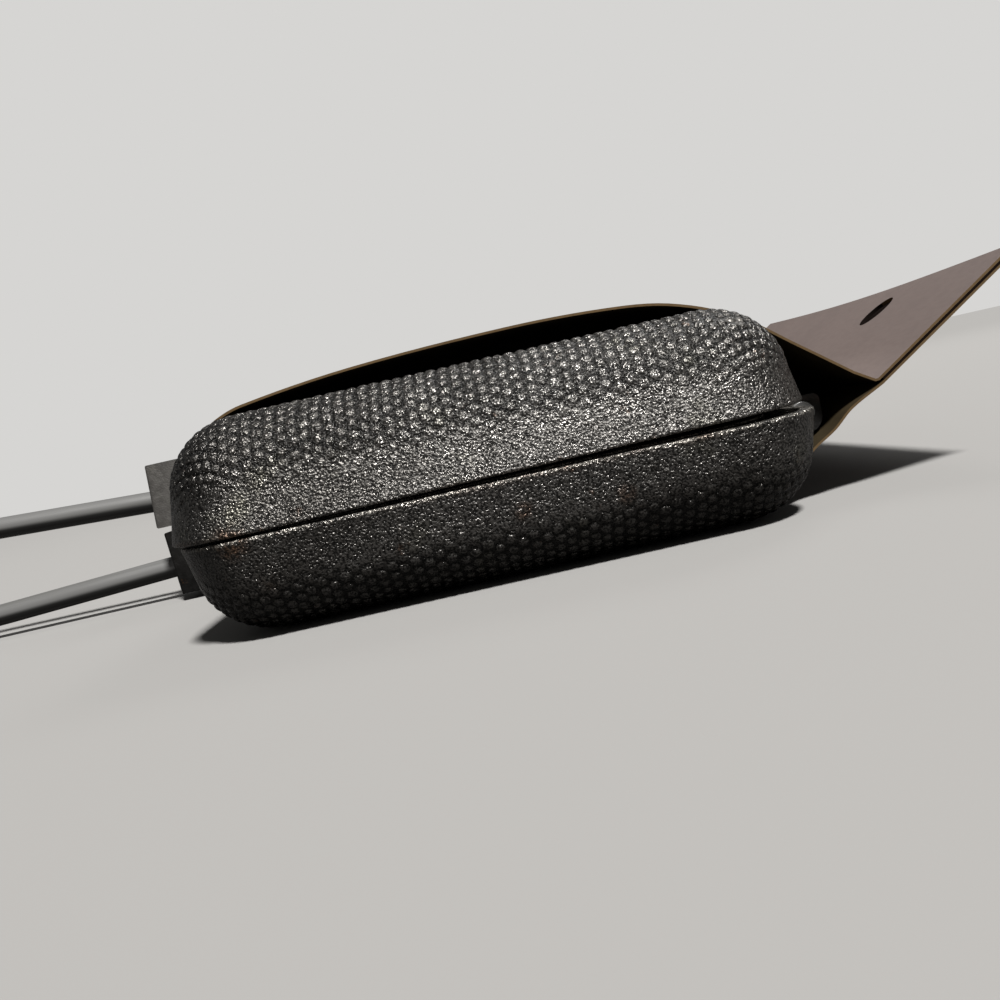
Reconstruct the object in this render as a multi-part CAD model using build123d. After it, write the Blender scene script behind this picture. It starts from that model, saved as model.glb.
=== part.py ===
from build123d import *
import math
import os

# Double pie iron: two cast-iron half shells with two sandwich pockets each, hinged along one long side.
# Each half carries a rectangular socket lug with a long steel rod and a turned wooden grip.
# Millimetres. +Z is up and the iron lies on its lower shell. The origin is the middle of that shell's flat
# outer face, +X points from the grips to the hinge, and Y runs along the head's long side.

# Head, seen from above
HEAD_X = 125.0            # across, from the lug side to the hinge side
HEAD_Y = 218.0            # along, over both sandwich pockets
HEAD_CORNER = 18.0        # plan radius at the rim
DRAFT = 12.0              # degrees that the outer wall leans in
OUTER_ROUND = 15.0        # radius from wall to outer face
LOWER_DEPTH = 19.0        # rim to outer face of the lower half
UPPER_DEPTH = 22.0        # rim to outer face of the upper half
UPPER_SHIFT = 1.5         # the upper half sits this much nearer the grips
RIM_ROUND = 0.5           # radius along the outer edge of each rim
LUG_SIDE_GAP = 0.4        # between the rims at the lug side
HINGE_SIDE_GAP = 1.5      # between the rims at the hinge side

# Sandwich pockets
FLOOR = 5.0               # iron between pocket and outer face
POCKET_X = 101.0
POCKET_Y = 96.0
POCKET_CORNER = 15.0
POCKET_ROUND = 9.0        # radius from pocket wall to pocket floor
DIVIDER = 9.0             # land between the two pockets
BEAD_WIDTH = 2.6          # pressing bead that seals the bread round each lower pocket
BEAD_HEIGHT = 0.35
BEAD_EDGE = 1.2           # from the pocket's mouth to the bead

# Socket lugs and rods
LUG_END = 93.1            # from the middle of the lower half to its lug's end
LUG_WIDTH = 22.0
LUG_HEIGHT = 17.6
UPPER_LUG_LIFT = 1.2      # the upper lug starts this much over its rim
LUG_DRAFT = 3.0           # degrees that the lug's end leans in, away from the rim
LUG_EDGE = 0.8            # small radius on the lug's edges
LUG_ROOT = 50.0           # the lug is cast on to the wall from here out
ROD_DIAMETER = 6.0
UPPER_ROD_RISE = 8.4      # upper rod's centre over the parting plane at its lug's end
LOWER_ROD_DROP = 10.8     # lower rod's centre under the parting plane at its lug's end
ROD_SPLAY = 2.9           # degrees that each rod leaves the parting plane
ROD_IN_SOCKET = 24.0
SOCKET_CLEARANCE = 0.02
ROD_KNEE = 155.0          # distance from the head's middle where the rods turn towards each other
ROD_KNEE_RADIUS = 300.0

# Grips, from the end of the rod inwards
IRON_END = 635.0          # head's middle to the tip of the end nuts
NUT_LENGTH = 9.0
NUT_ACROSS_FLATS = 10.0
NUT_FLAT_PART = 4.2
NUT_TOP = 2.2             # metal over the rod's tip
NUT_DOME_STEP = 0.3       # the dome stays this much inside the flats
WASHER_THICKNESS = 1.2
WASHER_DIAMETER = 13.5
GRIP_LENGTH = 135.0
GRIP_FRONT = 13.4         # diameter where the grip enters the ferrule
GRIP_WAIST = 15.5
GRIP_SWELL = 19.0
GRIP_BUTT = 14.5
GRIP_SWELL_PLACE = 32.0   # from the butt to the thickest place
GRIP_WAIST_PLACE = 87.0   # from the butt to the waist
GRIP_BUTT_ROUND = 3.0     # rounding of the butt, along the grip
GRIP_BUTT_INSET = 2.0     # rounding of the butt, across it
GRIP_BUTT_TANGENT = (0.3, 0, 1)
GRIP_NECK_TANGENT = (-0.03, 0, 1)
GRIP_GAP = 0.9            # between the two grips at their thickest place
GRIP_BORE_CLEARANCE = 0.05
FERRULE_LENGTH = 14.0
FERRULE_WALL = 0.8
FERRULE_LIP = 1.0

# Hinge
HINGE_FROM_END = 42.0     # each of the two hinges from its end of the head
HINGE_REACH = 2.7         # hinge axis beyond the lower rim
HINGE_DROP = 2.6          # hinge axis under the parting plane
PIN_DIAMETER = 4.0
PIN_RUNNING = 0.06        # radial clearance in the tongue
PIN_SEAT = 0.02           # radial clearance in the ears
PIN_HEAD_DIAMETER = 5.2
PIN_HEAD = 0.6
PIN_HEAD_ROUND = 0.4
TONGUE_WIDTH = 8.0
TONGUE_RADIUS = 3.7
TONGUE_ROOT_RISE = 9.0    # how far up the upper wall a tongue reaches
EAR_WIDTH = 6.0
EAR_SIDE_GAP = 0.4
EAR_END = 4.1             # ear's end beyond the hinge axis
EAR_TOP = 3.7             # ear's top over the hinge axis
EAR_BOTTOM = 4.3          # ear's bottom under the hinge axis
EAR_ROOT_DEPTH = 10.0     # how far down the lower wall an ear reaches
EAR_TOP_ROUND = 1.5
EAR_BOTTOM_ROUND = 3.5
HINGE_ROOT = 54.0         # ears and tongue are cast on to the walls from here out
HINGE_RIM_STEP = 0.3      # ears stay under, and tongue over, its own rim by this much
UPPER_RIM_CLEARANCE = 0.8 # from the upper rim's edge to the raised part of the ears
TONGUE_NOTCH = 0.6        # gap round the tongue where the lower wall is notched for it

# Latch hook on the lower rod
LATCH_FROM_GRIP = 41.8    # from the front of the grips
LATCH_PLATE = 2.5
LATCH_EYE_WALL = 4.0
LATCH_ARM = 7.5
LATCH_ARM_OFFSET = 4.25   # the arm's middle behind the line from rod to rod
LATCH_CLAW_AHEAD = 17.0   # degrees that the claw spans on the slot's open side
LATCH_CLAW_BEHIND = 16.0  # degrees on its closed side
LATCH_RUNNING = 0.06
LATCH_SLOT_CLEARANCE = 0.45
LATCH_CLAW = 4.5          # metal beyond the upper rod when it is hooked
LATCH_REST_TURN = 90.0    # degrees from hooked to lying open
COLLAR_LENGTH = 4.0
COLLAR_WALL = 1.7
COLLAR_SIDE_GAP = 0.25

# Plain card sleeve over the upper half, which slides off the end of the head
CARD_WIDTH = 168.0
CARD_THICKNESS = 0.5
# (X, height over the parting plane) along the card, from the lug side over the top to the fold
CARD_TOP_LINE = [(-57.0, 19.3), (-52.5, 22.2), (-46.9, 24.0), (-24.0, 26.5), (8.2, 27.5), (28.5, 26.8),
                 (41.0, 25.0), (53.4, 20.0), (65.6, 10.9), (75.0, 3.6)]
CARD_FOLD = (79.6, 0.5)
CARD_TAB_TIP = (111.6, 21.1)
CARD_TAB_PLIES = 3
# from the fold back to the lower half's wall
CARD_RETURN_LINE = [(73.2, -3.3), (69.1, -6.7), (64.2, -9.7), (61.3, -12.4), (58.9, -15.6)]
CARD_HOLE_DIAMETER = 10.0
CARD_HOLE_FROM_FOLD = 27.6
CARD_HOLE_Y = -33.5
CARD_HOLE_PLIES = 2       # the tab's back ply closes the hole

PARTING_Z = LOWER_DEPTH + (LUG_SIDE_GAP + HINGE_SIDE_GAP) / 4
LOWER_RIM_Z = LOWER_DEPTH
UPPER_RIM_Z = LOWER_RIM_Z + LUG_SIDE_GAP
HINGE_X = HEAD_X / 2 + HINGE_REACH
HINGE_Y = HEAD_Y / 2 - HINGE_FROM_END
HINGE_Z = PARTING_Z - HINGE_DROP
HINGE_HALF = TONGUE_WIDTH / 2 + EAR_SIDE_GAP + EAR_WIDTH
ROD_RADIUS = ROD_DIAMETER / 2
PIN_RADIUS = PIN_DIAMETER / 2
GRIP_END = IRON_END - NUT_LENGTH - WASHER_THICKNESS
LATCH_X = GRIP_END - GRIP_LENGTH - LATCH_FROM_GRIP
UPWARD = (Align.CENTER, Align.CENTER, Align.MIN)


def save(shape, node):
    shape.label = node
    export_step(shape, os.path.join("parts", node + ".step"))
    print(node, "solids", len(shape.solids()), "volume", round(shape.volume, 1))


def dish_profile(depth, round_radius):
    """Half section of a drafted, rounded form: inset from the rim against height over the rim."""
    lean = math.radians(DRAFT)
    tangent = round_radius * math.tan((math.pi / 2 - lean) / 2)
    wall_top = (depth - tangent * math.cos(lean)) * math.tan(lean), depth - tangent * math.cos(lean)
    face_edge = depth * math.tan(lean) + tangent, depth
    centre = face_edge[0], depth - round_radius
    middle_angle = math.radians(90 + (90 - DRAFT) / 2)
    middle = (centre[0] + round_radius * math.cos(middle_angle),
              centre[1] + round_radius * math.sin(middle_angle))
    return wall_top, middle, face_edge


def dish_section(half_width, depth, round_radius, mirrored):
    """Face in the XZ plane: one half if mirrored is false, the whole width if it is true."""
    wall_top, middle, face_edge = dish_profile(depth, round_radius)

    def right(point):
        return half_width - point[0], 0, point[1]

    def left(point):
        return point[0] - half_width, 0, point[1]

    edges = [Line((half_width, 0, 0), right(wall_top)),
             ThreePointArc(right(wall_top), right(middle), right(face_edge))]
    if mirrored:
        edges += [Line(right(face_edge), left(face_edge)),
                  ThreePointArc(left(face_edge), left(middle), left(wall_top)),
                  Line(left(wall_top), (-half_width, 0, 0)),
                  Line((-half_width, 0, 0), (half_width, 0, 0))]
    else:
        edges += [Line(right(face_edge), (0, 0, depth)),
                  Line((0, 0, depth), (0, 0, 0)),
                  Line((0, 0, 0), (half_width, 0, 0))]
    return make_face(Wire(edges))


def dish(size_x, size_y, corner, depth, round_radius):
    """Rounded tray form standing on z = 0: drafted walls, round corners and a flat face on top."""
    straight_x = size_x / 2 - corner
    straight_y = size_y / 2 - corner
    post = revolve(dish_section(corner, depth, round_radius, False), Axis.Z, 360)
    along_y = extrude(dish_section(size_x / 2, depth, round_radius, True), straight_y, (0, 1, 0), both=True)
    turned = Rot(0, 0, 90) * dish_section(size_y / 2, depth, round_radius, True)
    along_x = extrude(turned, straight_x, (1, 0, 0), both=True)
    solid = along_y + along_x
    for x in (-straight_x, straight_x):
        for y in (-straight_y, straight_y):
            solid += Pos(x, y, 0) * post
    return solid


def pockets(depth):
    """The two sandwich pockets of a half, mouth on z = 0."""
    one = dish(POCKET_X, POCKET_Y, POCKET_CORNER, depth - FLOOR, POCKET_ROUND)
    step = (POCKET_Y + DIVIDER) / 2
    return [Pos(0, side * step, 0) * one for side in (-1, 1)]


def beads():
    """Low round-topped bead that follows each pocket's mouth, standing on z = 0."""
    step = (POCKET_Y + DIVIDER) / 2
    grown = 2 * (BEAD_EDGE + BEAD_WIDTH)
    rings = []
    for side in (-1, 1):
        outer = RectangleRounded(POCKET_X + grown, POCKET_Y + grown, POCKET_CORNER + grown / 2)
        edge = 2 * BEAD_EDGE
        inner = RectangleRounded(POCKET_X + edge, POCKET_Y + edge, POCKET_CORNER + BEAD_EDGE)
        rings.append(Pos(0, side * step, 0) * extrude(outer - inner, BEAD_HEIGHT, (0, 0, 1)))
    return rings


def half(depth, lug_side_gap, hinge_side_gap):
    """A half's tray with its outer face up. Its rim is cut back from z = 0 to the two gaps, and rounded."""
    tray = dish(HEAD_X, HEAD_Y, HEAD_CORNER, depth, OUTER_ROUND)
    lean = math.degrees(math.atan((hinge_side_gap - lug_side_gap) / HEAD_X))
    rim_plane = Pos(-HEAD_X / 2, 0, lug_side_gap) * Rot(0, -lean, 0)
    tray -= rim_plane * Pos(HEAD_X / 2, 0, -depth / 2) * Box(2 * HEAD_X, 2 * HEAD_Y, depth)
    rim = tray.faces().sort_by(Axis.Z)[0]
    tray = fillet(rim.outer_wire().edges(), RIM_ROUND)
    for pocket in pockets(depth):
        tray -= pocket
    return tray


def lug(side):
    """Rectangular socket lug on the -X side of a half, cast on to the wall and with a drafted end."""
    rim = LOWER_RIM_Z if side < 0 else UPPER_RIM_Z + UPPER_LUG_LIFT
    outer = rim + side * LUG_HEIGHT
    outer_end = LUG_END - LUG_HEIGHT * math.tan(math.radians(LUG_DRAFT))
    outline = [(-LUG_ROOT, rim), (-LUG_END, rim), (-outer_end, outer), (-LUG_ROOT, outer)]
    block = plate_y(outline, -LUG_WIDTH / 2, LUG_WIDTH / 2)
    end = block.faces().sort_by(Axis.X)[0]
    return fillet(end.edges(), LUG_EDGE)


def rod_points(side):
    """Start in the socket, knee, and tip of a rod's centre line. side is 1 above, -1 below."""
    offset = UPPER_ROD_RISE if side > 0 else LOWER_ROD_DROP
    lug_end = LUG_END + (UPPER_SHIFT if side > 0 else 0)
    slope = math.tan(math.radians(ROD_SPLAY))
    knee_offset = offset + (ROD_KNEE - lug_end) * slope
    swell_offset = (GRIP_SWELL + GRIP_GAP) / 2
    swell_x = GRIP_END - GRIP_SWELL_PLACE
    closing = (knee_offset - swell_offset) / (swell_x - ROD_KNEE)
    tip_x = IRON_END - NUT_TOP
    tip_offset = knee_offset - (tip_x - ROD_KNEE) * closing
    start_x = lug_end - ROD_IN_SOCKET
    start_offset = offset - ROD_IN_SOCKET * slope
    return [Vector(-x, 0, PARTING_Z + side * away)
            for x, away in ((start_x, start_offset), (ROD_KNEE, knee_offset), (tip_x, tip_offset))]


def socket(side):
    """Blind hole that takes the rod, slightly wider than it."""
    start, knee, tip = rod_points(side)
    plane = Plane(origin=start, z_dir=knee - start)
    return plane * Cylinder(ROD_RADIUS + SOCKET_CLEARANCE, 2 * ROD_IN_SOCKET, align=UPWARD)


def disc(x, z, radius, low_y, high_y):
    """Solid round plate about a line along Y."""
    plate = Cylinder(radius, high_y - low_y)
    return Pos(x, (low_y + high_y) / 2, z) * Rot(90, 0, 0) * plate


def plate_y(points, low_y, high_y):
    """Flat plate from an outline of (X, Z) points, between two places on Y."""
    outline = Polyline([(x, low_y, z) for x, z in points], close=True)
    return extrude(make_face(outline), high_y - low_y, (0, 1, 0))


def ears(y):
    """The pair of lower hinge ears at one hinge, without their bore."""
    end = HINGE_X + EAR_END
    top = HINGE_Z + EAR_TOP
    bottom = HINGE_Z - EAR_BOTTOM
    rim = LOWER_RIM_Z - HINGE_RIM_STEP
    raised_from = HEAD_X / 2 - UPPER_SHIFT + UPPER_RIM_CLEARANCE
    root_low = LOWER_RIM_Z - EAR_ROOT_DEPTH
    outline = [(HINGE_ROOT, rim), (raised_from, rim), (raised_from, top), (end, top), (end, bottom),
               (HINGE_X, bottom), (HEAD_X / 2, root_low), (HINGE_ROOT, root_low)]
    both = []
    for side in (-1, 1):
        inner, outer = y + side * (HINGE_HALF - EAR_WIDTH), y + side * HINGE_HALF
        ear = plate_y(outline, min(inner, outer), max(inner, outer))
        corners = ear.edges().filter_by(Axis.Y).sort_by(Axis.X)[-2:]
        ear = fillet(corners.sort_by(Axis.Z)[-1], EAR_TOP_ROUND)
        corners = ear.edges().filter_by(Axis.Y).sort_by(Axis.X)[-2:]
        both.append(fillet(corners.sort_by(Axis.Z)[0], EAR_BOTTOM_ROUND))
    return both


def tongue(y):
    """The upper hinge tongue at one hinge, without its bore."""
    low, high = y - TONGUE_WIDTH / 2, y + TONGUE_WIDTH / 2
    bottom = LOWER_RIM_Z + HINGE_SIDE_GAP + HINGE_RIM_STEP
    inner, outer = HINGE_X - TONGUE_RADIUS, HINGE_X + TONGUE_RADIUS
    outline = [(HINGE_ROOT, bottom), (inner, bottom), (inner, HINGE_Z), (outer, HINGE_Z),
               (outer, HINGE_Z + TONGUE_RADIUS / 2), (HEAD_X / 2 - UPPER_SHIFT, bottom + TONGUE_ROOT_RISE),
               (HINGE_ROOT, bottom + TONGUE_ROOT_RISE)]
    return plate_y(outline, low, high) + disc(HINGE_X, HINGE_Z, TONGUE_RADIUS, low, high)


def tongue_room(y):
    """Space between a pair of ears that lets the tongue turn, cut a little into the lower wall."""
    low, high = y - HINGE_HALF + EAR_WIDTH, y + HINGE_HALF - EAR_WIDTH
    radius = TONGUE_RADIUS + TONGUE_NOTCH
    outline = [(HINGE_X - radius, HINGE_Z), (HINGE_X, HINGE_Z), (HINGE_X, PARTING_Z),
               (HINGE_X - radius, PARTING_Z)]
    return disc(HINGE_X, HINGE_Z, radius, low, high) + plate_y(outline, low, high)


def hollow_side(side):
    """Block over a half's pockets, which keeps lug and hinge roots out of them."""
    return Pos(0, 0, PARTING_Z + side * UPPER_DEPTH / 2) * Box(POCKET_X, HEAD_Y, 2 * UPPER_DEPTH)


def lower_shell():
    """Lower half: tray, lug, hinge ears and pressing beads."""
    shell = Pos(0, 0, LOWER_RIM_Z) * Rot(180, 0, 0) * half(LOWER_DEPTH, 0, 0)
    for ring in beads():
        shell += Pos(0, 0, LOWER_RIM_Z) * ring
    shell += lug(-1) - hollow_side(-1)
    for y in (-HINGE_Y, HINGE_Y):
        for ear in ears(y):
            shell += ear - hollow_side(-1)
        shell -= tongue_room(y)
        shell -= disc(HINGE_X, HINGE_Z, PIN_RADIUS + PIN_SEAT, y - HEAD_X, y + HEAD_X)
    return shell - socket(-1)


def upper_shell():
    """Upper half: tray, lug and hinge tongues, with a rim that rises a little towards the hinge."""
    shell = Pos(0, 0, LOWER_RIM_Z) * half(UPPER_DEPTH + LUG_SIDE_GAP, LUG_SIDE_GAP, HINGE_SIDE_GAP)
    shell += lug(1) - hollow_side(1)
    shell = Pos(-UPPER_SHIFT, 0, 0) * shell
    for y in (-HINGE_Y, HINGE_Y):
        shell += tongue(y) - Pos(-UPPER_SHIFT, 0, 0) * hollow_side(1)
        shell -= disc(HINGE_X, HINGE_Z, PIN_RADIUS + PIN_RUNNING, y - TONGUE_WIDTH, y + TONGUE_WIDTH)
    return shell - socket(1)


def hinge_pin(y):
    """Steel pin through ears and tongue, with a low peened head at each end."""
    pin = disc(HINGE_X, HINGE_Z, PIN_RADIUS, y - HINGE_HALF, y + HINGE_HALF)
    for side in (-1, 1):
        face, crown = y + side * HINGE_HALF, y + side * (HINGE_HALF + PIN_HEAD)
        head = disc(HINGE_X, HINGE_Z, PIN_HEAD_DIAMETER / 2, min(face, crown), max(face, crown))
        rim = head.edges().filter_by(GeomType.CIRCLE).sort_by(Axis.Y)[-1 if side > 0 else 0]
        pin += fillet(rim, PIN_HEAD_ROUND)
    return pin


def rod(side):
    """Steel rod: straight out of its socket, then one slight knee towards the other rod."""
    points = rod_points(side)
    path = FilletPolyline(points, radius=ROD_KNEE_RADIUS)
    section = Plane(origin=points[0], z_dir=points[1] - points[0]) * Circle(ROD_RADIUS)
    return sweep(section, path)


def on_rod(side, distance):
    """Frame on a rod's long run at a distance from the head's middle, with its Z towards the head."""
    start, knee, tip = rod_points(side)
    share = (distance - ROD_KNEE) / (-tip.X - ROD_KNEE)
    return Plane(origin=knee + (tip - knee) * share, x_dir=(0, 1, 0), z_dir=knee - tip)


def turned(points):
    """Solid of revolution from (radius, distance) points joined by straight runs, about Z."""
    face = make_face(Polyline([(r, 0, d) for r, d in points], close=True))
    return revolve(face, Axis.Z, 360)


def grip():
    """Turned wooden grip standing on z = 0 at its butt, with a neck for the ferrule at the top."""
    neck = GRIP_LENGTH - FERRULE_LENGTH
    neck_end = GRIP_LENGTH - FERRULE_LIP
    shoulder = GRIP_FRONT / 2 + FERRULE_WALL
    butt = GRIP_BUTT / 2
    side = Spline([(butt, 0, GRIP_BUTT_ROUND), (GRIP_SWELL / 2, 0, GRIP_SWELL_PLACE),
                   (GRIP_WAIST / 2, 0, GRIP_WAIST_PLACE), (shoulder, 0, neck)],
                  tangents=[GRIP_BUTT_TANGENT, GRIP_NECK_TANGENT])
    half_way = 1 - math.sqrt(0.5)
    corner = ThreePointArc((butt - GRIP_BUTT_INSET, 0, 0),
                           (butt - GRIP_BUTT_INSET * half_way, 0, GRIP_BUTT_ROUND * half_way),
                           (butt, 0, GRIP_BUTT_ROUND))
    edges = [side,
             Line((shoulder, 0, neck), (GRIP_FRONT / 2, 0, neck)),
             Line((GRIP_FRONT / 2, 0, neck), (GRIP_FRONT / 2, 0, neck_end)),
             Line((GRIP_FRONT / 2, 0, neck_end), (0, 0, neck_end)),
             Line((0, 0, neck_end), (0, 0, 0)),
             Line((0, 0, 0), (butt - GRIP_BUTT_INSET, 0, 0)),
             corner]
    body = revolve(make_face(Wire(edges)), Axis.Z, 360)
    return body - Cylinder(ROD_RADIUS + GRIP_BORE_CLEARANCE, 3 * GRIP_LENGTH)


def ferrule():
    """Thin metal cup on the grip's neck, with its lip towards the head."""
    inner = GRIP_FRONT / 2 + SOCKET_CLEARANCE
    outer = inner + FERRULE_WALL
    hole = ROD_RADIUS + GRIP_BORE_CLEARANCE
    low = GRIP_LENGTH - FERRULE_LENGTH
    lip = GRIP_LENGTH - FERRULE_LIP
    return turned([(inner, low), (outer, low), (outer, GRIP_LENGTH - FERRULE_LIP / 2),
                   (outer - FERRULE_LIP / 2, GRIP_LENGTH), (hole, GRIP_LENGTH), (hole, lip), (inner, lip)])


def washer():
    """Flat washer under the end nut."""
    hole = Cylinder(ROD_RADIUS + GRIP_BORE_CLEARANCE, 3 * WASHER_THICKNESS)
    return Cylinder(WASHER_DIAMETER / 2, WASHER_THICKNESS) - hole


def cap_nut():
    """Domed cap nut standing on z = 0 at its flat side, with a blind hole for the rod's tip."""
    hexagon = extrude(RegularPolygon(NUT_ACROSS_FLATS / 2, 6, major_radius=False), NUT_FLAT_PART)
    dome_radius = NUT_ACROSS_FLATS / 2 - NUT_DOME_STEP
    rise = NUT_LENGTH - NUT_FLAT_PART
    ball = Pos(0, 0, NUT_FLAT_PART) * scale(Sphere(dome_radius), (1, 1, rise / dome_radius))
    dome = ball & Pos(0, 0, NUT_LENGTH) * Cylinder(NUT_ACROSS_FLATS, 2 * rise)
    hole = Cylinder(ROD_RADIUS + SOCKET_CLEARANCE, NUT_LENGTH - NUT_TOP, align=UPWARD)
    return hexagon + dome - hole


def sector(radius, low, high):
    """Flat wedge from the centre between two angles in degrees."""
    corners = [(radius * math.cos(math.radians(a)), radius * math.sin(math.radians(a))) for a in (low, high)]
    return make_face(Polyline([(0, 0)] + corners, close=True))


def latch_hook():
    """Flat hook in its open place: an eye round the lower rod and a curved slot for the upper rod."""
    eye = on_rod(-1, LATCH_X)
    reach = (on_rod(1, LATCH_X).origin - eye.origin).length
    slot_half = ROD_RADIUS + LATCH_SLOT_CLEARANCE
    outer = reach + slot_half + LATCH_CLAW
    inner = reach - slot_half - LATCH_CLAW
    claw = (Circle(outer) - Circle(inner)) & sector(3 * outer, 90 - LATCH_CLAW_AHEAD, 90 + LATCH_CLAW_BEHIND)
    arm = Pos(-LATCH_ARM_OFFSET, reach / 2) * Rectangle(LATCH_ARM, reach)
    plate = Circle(ROD_RADIUS + LATCH_EYE_WALL) + arm + claw
    slot = (Circle(reach + slot_half) - Circle(reach - slot_half)) & sector(3 * outer, 0, 90)
    plate = plate - slot - Pos(0, reach) * Circle(slot_half) - Circle(ROD_RADIUS + LATCH_RUNNING)
    solid = extrude(plate, LATCH_PLATE / 2, both=True)
    away = Plane(origin=eye.origin, x_dir=(0, -1, 0), z_dir=-eye.z_dir)
    return away * Rot(0, 0, LATCH_REST_TURN) * solid


def latch_collars():
    """Two crimped collars that keep the hook in its place along the rod."""
    hole = Cylinder(ROD_RADIUS + SOCKET_CLEARANCE, 3 * COLLAR_LENGTH)
    ring = Cylinder(ROD_RADIUS + COLLAR_WALL, COLLAR_LENGTH) - hole
    away = LATCH_PLATE / 2 + COLLAR_SIDE_GAP + COLLAR_LENGTH / 2
    rings = [on_rod(-1, LATCH_X + side * away) * ring for side in (-1, 1)]
    return Compound(children=rings)


def beside(points, distance):
    """The same open line of (X, height) points moved sideways, to its left."""
    moved = []
    for i, (x, z) in enumerate(points):
        before = points[max(i - 1, 0)]
        after = points[min(i + 1, len(points) - 1)]
        run_x, run_z = after[0] - before[0], after[1] - before[1]
        length = math.hypot(run_x, run_z)
        moved.append((x - run_z / length * distance, z + run_x / length * distance))
    return moved


def sheet(points, thickness, smooth):
    """Card of a thickness along a line of (X, height) points, as wide as the sleeve."""
    sides = [beside(points, side * thickness / 2) for side in (1, -1)]
    lines = [Spline(side) if smooth else Polyline(side) for side in sides]
    ends = [Line(sides[0][i], sides[1][i]) for i in (0, -1)]
    face = make_face(Wire(lines[0].edges() + lines[1].edges() + ends))
    return Pos(0, 0, PARTING_Z) * extrude(Plane.XZ * face, CARD_WIDTH / 2, both=True)


def card():
    """Bent card: arch over the top, fold behind the hinge, hang tab of glued plies, and a ply turned under."""
    arch = sheet(CARD_TOP_LINE, CARD_THICKNESS, True)
    arch += sheet([CARD_TOP_LINE[-1], CARD_FOLD], CARD_THICKNESS, False)
    tab = sheet([CARD_FOLD, CARD_TAB_TIP], CARD_TAB_PLIES * CARD_THICKNESS, False)
    turned_under = sheet([CARD_FOLD] + CARD_RETURN_LINE, CARD_THICKNESS, True)
    run_x, run_z = CARD_TAB_TIP[0] - CARD_FOLD[0], CARD_TAB_TIP[1] - CARD_FOLD[1]
    share = CARD_HOLE_FROM_FOLD / math.hypot(run_x, run_z)
    middle = CARD_FOLD[0] + share * run_x, CARD_HOLE_Y, PARTING_Z + CARD_FOLD[1] + share * run_z
    outward = Plane(origin=middle, z_dir=(-run_z, 0, run_x))
    hole_floor = Pos(0, 0, (CARD_TAB_PLIES / 2 - CARD_HOLE_PLIES) * CARD_THICKNESS)
    hole = outward * hole_floor * Cylinder(CARD_HOLE_DIAMETER / 2, 2 * CARD_TAB_PLIES, align=UPWARD)
    return arch + tab + turned_under - hole


def main():
    os.makedirs("parts", exist_ok=True)
    save(lower_shell(), "lower_shell")
    save(upper_shell(), "upper_shell")
    for name, y in (("near", -HINGE_Y), ("far", HINGE_Y)):
        save(hinge_pin(y), "hinge_pin_" + name)
    for name, side in (("lower", -1), ("upper", 1)):
        butt = on_rod(side, GRIP_END)
        save(rod(side), name + "_rod")
        save(butt * grip(), name + "_grip")
        save(butt * ferrule(), name + "_ferrule")
        save(on_rod(side, GRIP_END + WASHER_THICKNESS / 2) * washer(), name + "_end_washer")
        save(on_rod(side, GRIP_END + WASHER_THICKNESS) * Rot(180, 0, 0) * cap_nut(), name + "_end_nut")
    save(latch_hook(), "latch_hook")
    save(latch_collars(), "latch_collars")
    save(card(), "card_sleeve")


main()
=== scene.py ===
"""Looks of the double pie iron: castings, rods, grips, hinge, latch and card sleeve."""

import logging
import math
from dataclasses import dataclass, field
from enum import Enum
from typing import Any, Iterable, Optional

import bmesh
import bpy
import numpy as np
from mathutils import Matrix, Vector


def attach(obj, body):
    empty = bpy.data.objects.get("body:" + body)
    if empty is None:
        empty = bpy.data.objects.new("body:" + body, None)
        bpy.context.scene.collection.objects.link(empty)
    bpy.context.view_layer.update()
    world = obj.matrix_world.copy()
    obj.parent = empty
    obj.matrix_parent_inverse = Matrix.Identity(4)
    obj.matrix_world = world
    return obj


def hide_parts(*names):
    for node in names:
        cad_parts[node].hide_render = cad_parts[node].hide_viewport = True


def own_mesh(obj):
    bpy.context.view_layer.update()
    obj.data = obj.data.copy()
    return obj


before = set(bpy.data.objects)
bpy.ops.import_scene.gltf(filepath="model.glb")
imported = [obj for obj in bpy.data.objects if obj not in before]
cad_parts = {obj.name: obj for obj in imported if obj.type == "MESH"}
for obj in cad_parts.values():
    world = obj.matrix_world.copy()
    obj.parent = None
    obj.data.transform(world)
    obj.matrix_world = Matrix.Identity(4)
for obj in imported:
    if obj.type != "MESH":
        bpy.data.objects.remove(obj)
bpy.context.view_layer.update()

MM = 0.001
BLACK = (0.0, 0.0, 0.0, 1.0)
WHITE = (1.0, 1.0, 1.0, 1.0)
LOG = logging.getLogger("pie_iron")

Tree = bpy.types.NodeTree
Socket = bpy.types.NodeSocket
Node = bpy.types.Node
Material = bpy.types.Material
Object = bpy.types.Object


class Slot(str, Enum):
    """Material slots of the record, named here; no piece is given one."""

    CAST_IRON = "cast_iron"
    CARD = "card"


class Half(Enum):
    """The two castings, with the direction of their outer face along Z."""

    LOWER = -1
    UPPER = 1

    @property
    def word(self) -> str:
        """Name used in the CAD nodes and bodies."""
        return self.name.lower()


class Ply(Enum):
    """Material places on the card's mesh."""

    OUTSIDE = 0
    INSIDE = 1
    EDGE = 2
    SHADED = 3


def linear(hex_colour: str) -> tuple[float, float, float, float]:
    """Turn an sRGB hex colour into the linear values that shaders use.

    Args:
        hex_colour: Six hex digits, with or without a leading hash.

    Returns:
        Linear red, green, blue and an alpha of 1.
    """
    digits = hex_colour.lstrip("#")
    channels = [int(digits[i:i + 2], 16) / 255 for i in (0, 2, 4)]
    low = [c / 12.92 if c <= 0.04045 else ((c + 0.055) / 1.055) ** 2.4 for c in channels]
    return low[0], low[1], low[2], 1.0


def per_metre(millimetres: float) -> float:
    """Texture scale whose features repeat about every given number of millimetres."""
    return 1.0 / (millimetres * MM)


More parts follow.
